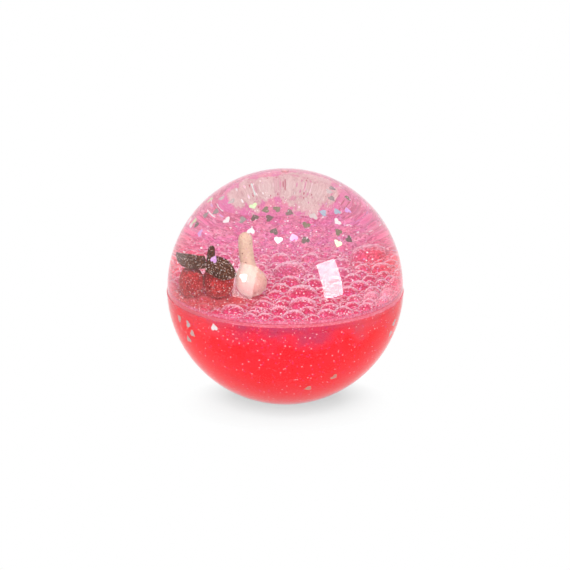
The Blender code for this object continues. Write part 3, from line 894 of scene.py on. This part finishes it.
# film of pink oil and foam left on the wall above the liquid
filmLook = {"radius": 0.02946, "low": 0.00012, "high": 0.0075, "segments": 160, "rings": 160,
            "pink": (0.85, 0.28, 0.42), "pale": (0.87, 0.33, 0.44), "purple": (0.82, 0.21, 0.46),
            # beige, grey and fleck: painted light and shade of what lies behind the ball, seen through the clear back
            # wall
            "beige": (0.8, 0.58, 0.57), "grey": (0.73, 0.48, 0.48), "fleck": (0.76, 0.3, 0.42),
            "rim": (0.95, 0.36, 0.46), "rimDeep": (0.8, 0.06, 0.13), "rimWaves": 0.0012, "dripWaves": 0.002,
            "inner": 0.02, "patchLow": 0.0001, "patchHalf": 0.0059, "patchSlope": 1600.0,
            "lean": -0.07, "raggedLarge": (7.0, -3.8), "raggedSmall": (5.0, -2.5),  # factor, then what is added
            "holeMove": (0.625, 0.0, -0.52), "holeScale": (500.0, 0.0, 580.0),
            "glitter": 4200.0, "speck": 0.42,
            "specks": [(0.84, (0.75, 0.25, 0.42)), (0.92, (0.97, 0.75, 0.8)), (0.965, (0.6, 0.16, 0.22))],
            "grain": 9000.0, "grainDark": (0.9, 0.82, 0.84), "grainLight": (1.06, 1.16, 1.14)}

# start, end and values there of what fades over the film
filmSpan = {"hole": (1.2, 0.6, 0.0, 6.0), "patch": (0.2, 1.9, 0.0, 0.95), "rear": (0.015, 0.022),
            "drips": (0.0015, 0.0029, 0.85, 0.0), "sides": (-0.014, 0.006), "streaks": (0.42, 0.62, 0.0, 0.5),
            "back": (0.0, 0.012), "front": (0.0, 0.012, 1.0, 0.0), "top": (0.0045, 0.0072, 0.95, 0.0),
            "rim": (0.0017, 0.0011, 0.0, 0.75)}


def filmPatch(tree, spot, cloud, fine):  # painted light: a pale, ragged place at the back, with a hole in it, standing for what lies behind the ball seen through the clear back wall
    axis = axes(tree, spot)
    slope = filmLook["patchSlope"]
    tall = sums(tree, "MULTIPLY_ADD", sums(tree, "MINIMUM", axis["X"], 0.0), filmLook["lean"], axis["Z"])
    height = sums(tree, "MULTIPLY_ADD", tall, slope, -slope * filmLook["patchLow"])
    large = sums(tree, "MULTIPLY_ADD", cloud, *filmLook["raggedLarge"])
    ragged = sums(tree, "ADD", large, sums(tree, "MULTIPLY_ADD", fine, *filmLook["raggedSmall"]))
    across = sums(tree, "ABSOLUTE", sums(tree, "MULTIPLY", axis["X"], 1 / filmLook["patchHalf"]))
    off = length(tree, mapped(tree, spot, filmLook["holeScale"], filmLook["holeMove"]))
    cut = sums(tree, "ADD", sums(tree, "POWER", across, 4.0), between(tree, off, *filmSpan["hole"]))
    level = sums(tree, "SUBTRACT", sums(tree, "ADD", height, ragged), cut)
    rear = between(tree, axis["Y"], *filmSpan["rear"])
    return sums(tree, "MULTIPLY", between(tree, level, *filmSpan["patch"]), rear)


def filmFinish():
    finish, tree, shader = newFinish("wallFilm")
    spot = mapped(tree, here(tree), (1.0, 1.0, 1.0), (0.0, 0.0, -waterLevel))
    axis = axes(tree, spot)
    cloud = noise(tree, 700.0, 5.0)
    fine = noise(tree, 1900.0)
    mottle = sums(tree, "MULTIPLY_ADD", fine, 0.7, sums(tree, "SUBTRACT", cloud, 0.35))
    tone = ramp(tree, mottle, [(0.36, filmLook["purple"]), (0.5, filmLook["pink"]), (0.64, filmLook["pale"])])
    # painted light and shade of what lies behind the ball, seen through the back wall
    light = ramp(tree, mottle, [(0.3, filmLook["fleck"]), (0.43, filmLook["grey"]), (0.58, filmLook["beige"])])
    low = between(tree, sums(tree, "MULTIPLY_ADD", cloud, filmLook["dripWaves"], axis["Z"]), *filmSpan["drips"])
    drips = blend(tree, low, tone["Color"], filmLook["purple"])
    colour = blend(tree, filmPatch(tree, spot, cloud, fine), drips, light["Color"])
    sides = between(tree, axis["Y"], *filmSpan["sides"])
    streaks = sums(tree, "MULTIPLY", sides, between(tree, cloud, *filmSpan["streaks"]))
    mixed = sums(tree, "MAXIMUM", between(tree, axis["Y"], *filmSpan["back"]), streaks)
    fade = between(tree, axis["Z"], *filmSpan["top"])
    small = froth(tree, filmLook["rim"], filmLook["rimDeep"])  # along the seam
    rim = between(tree, sums(tree, "MULTIPLY_ADD", fine, filmLook["rimWaves"], axis["Z"]), *filmSpan["rim"])
    front = between(tree, axis["Y"], *filmSpan["front"])
    colour = blend(tree, sums(tree, "MULTIPLY", rim, front), colour, small)
    cover = sums(tree, "MAXIMUM", sums(tree, "MULTIPLY", mixed, fade), rim)
    feed(tree, shader, {"Base Color": speckled(tree, {"Color": colour}, filmLook, 0.5), "Alpha": cover,
                        "Emission Color": foamLook["glow"], "Emission Strength": filmLook["inner"],
                        "Roughness": 0.5, "Specular IOR Level": 0.1})
    return finish


def makeFilm():
    clearPick()
    bpy.ops.mesh.primitive_uv_sphere_add(segments=filmLook["segments"], ring_count=filmLook["rings"],
                                         radius=filmLook["radius"], location=centre)
    film = started("wallFilm")
    slicePiece(film, waterLevel + filmLook["low"], False, False)
    slicePiece(film, waterLevel + filmLook["high"], True, False)
    smoothed(film)
    film.data.materials.append(filmFinish())
    film.visible_shadow = False
    film.visible_diffuse = False
    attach(film, "liquid")


makeFilm()
print("film on the wall")

# floor, light and camera
stageLook = {"floor": 1.2, "albedo": 0.8, "glow": 0.2, "sky": 0.36, "near": 0.009, "far": 0.0185, "ahead": 0.006,
             "wide": 0.62, "lampAway": 0.9}


def cameraOnly(tree):  # 1 for what the camera sees straight, mirrored or through glass, and 0 for light
    path = place(tree, "ShaderNodeLightPath").outputs
    sharp = sums(tree, "MAXIMUM", path["Is Camera Ray"], path["Is Glossy Ray"])
    sharp = sums(tree, "MAXIMUM", sharp, path["Is Transmission Ray"])
    return sums(tree, "MULTIPLY", sharp, sums(tree, "LESS_THAN", path["Diffuse Depth"], 0.5))


def makeFloor():
    clearPick()
    bpy.ops.mesh.primitive_plane_add(size=stageLook["floor"] * 2)
    floor = started("paleFloor")
    finish, tree = newFinish("paleFloor")[:2]
    tree.nodes.clear()
    seen = cameraOnly(tree)
    matte = place(tree, "ShaderNodeBsdfDiffuse", {"Color": (stageLook["albedo"],) * 3})
    glow = place(tree, "ShaderNodeEmission", {"Strength": sums(tree, "MULTIPLY", seen, stageLook["glow"])})
    lit = place(tree, "ShaderNodeAddShader", {0: matte.outputs[0], 1: glow.outputs[0]})
    away = length(tree, mapped(tree, here(tree), (stageLook["wide"], 1.0, 1.0), (0.0, stageLook["ahead"], 0.0)))
    eye = sums(tree, "MULTIPLY", between(tree, away, stageLook["near"], stageLook["far"]), seen)
    white = place(tree, "ShaderNodeEmission")
    ends = place(tree, "ShaderNodeMixShader", {0: eye, 1: lit.outputs[0], 2: white.outputs[0]})
    place(tree, "ShaderNodeOutputMaterial", {"Surface": ends.outputs[0]})
    floor.data.materials.append(finish)


def makeWorld():
    world = bpy.data.worlds.new("softStudio")
    bpy.context.scene.world = world
    world.use_nodes = True
    tree = world.node_tree
    level = between(tree, cameraOnly(tree), 0.0, 1.0, stageLook["sky"], 1.0)
    feed(tree, tree.nodes["Background"], {"Color": (1.0, 1.0, 1.0), "Strength": level})


lampLook = {"left": {"toward": (-0.612, -0.726, 0.314), "size": (0.32, 0.475), "power": 3.0, "mirrored": True},
            "right": {"toward": (0.671, -0.665, 0.328), "size": (0.31, 0.5), "power": 8.0, "mirrored": True},
            "key": {"toward": (-0.06, -0.615, 0.788), "size": (0.5, 0.4), "power": 4.35, "mirrored": False},
            "top": {"toward": (0.0, 0.2, 0.98), "size": (0.5, 0.5), "power": 1.8, "mirrored": False},
            "fillLeft": {"toward": (-0.68, -0.68, 0.27), "size": (0.5, 0.3), "power": 1.5, "mirrored": False},
            "fillRight": {"toward": (0.68, -0.68, 0.27), "size": (0.5, 0.3), "power": 1.5, "mirrored": False}}


def makeLamps():  # two window lamps show as reflections, the soft ones give the light
    for name, look in lampLook.items():
        lamp = bpy.data.lights.new(name + "Lamp", "AREA")
        lamp.shape = "RECTANGLE"
        lamp.size, lamp.size_y = look["size"]
        lamp.energy = look["power"]
        holder = added(name + "Lamp", lamp)
        toward = Vector(look["toward"]).normalized()
        holder.location = centre + toward * stageLook["lampAway"]
        holder.rotation_euler = toward.to_track_quat("Z", "Y").to_euler()
        holder.visible_glossy = look["mirrored"]
        holder.visible_diffuse = not look["mirrored"]


cameraLook = {"elevation": 18.2, "away": 7.2, "lens": 53.43, "shiftX": -0.2 / 570, "shiftY": 0.95 / 570, "near": 0.001}


def makeCamera():
    camera = added("frontCamera", bpy.data.cameras.new("frontCamera"))
    tilt = math.radians(cameraLook["elevation"])
    toward = Vector((0, -math.cos(tilt), math.sin(tilt)))
    camera.location = centre + toward * cameraLook["away"] * ballRadius
    camera.rotation_euler = toward.to_track_quat("Z", "Y").to_euler()
    camera.data.lens = cameraLook["lens"]
    camera.data.clip_start = cameraLook["near"]
    camera.data.shift_x = cameraLook["shiftX"]
    camera.data.shift_y = cameraLook["shiftY"]
    bpy.context.scene.camera = camera


makeFloor()
makeWorld()
makeLamps()
makeCamera()
bpy.context.scene.view_settings.view_transform = "Standard"
print("stage")
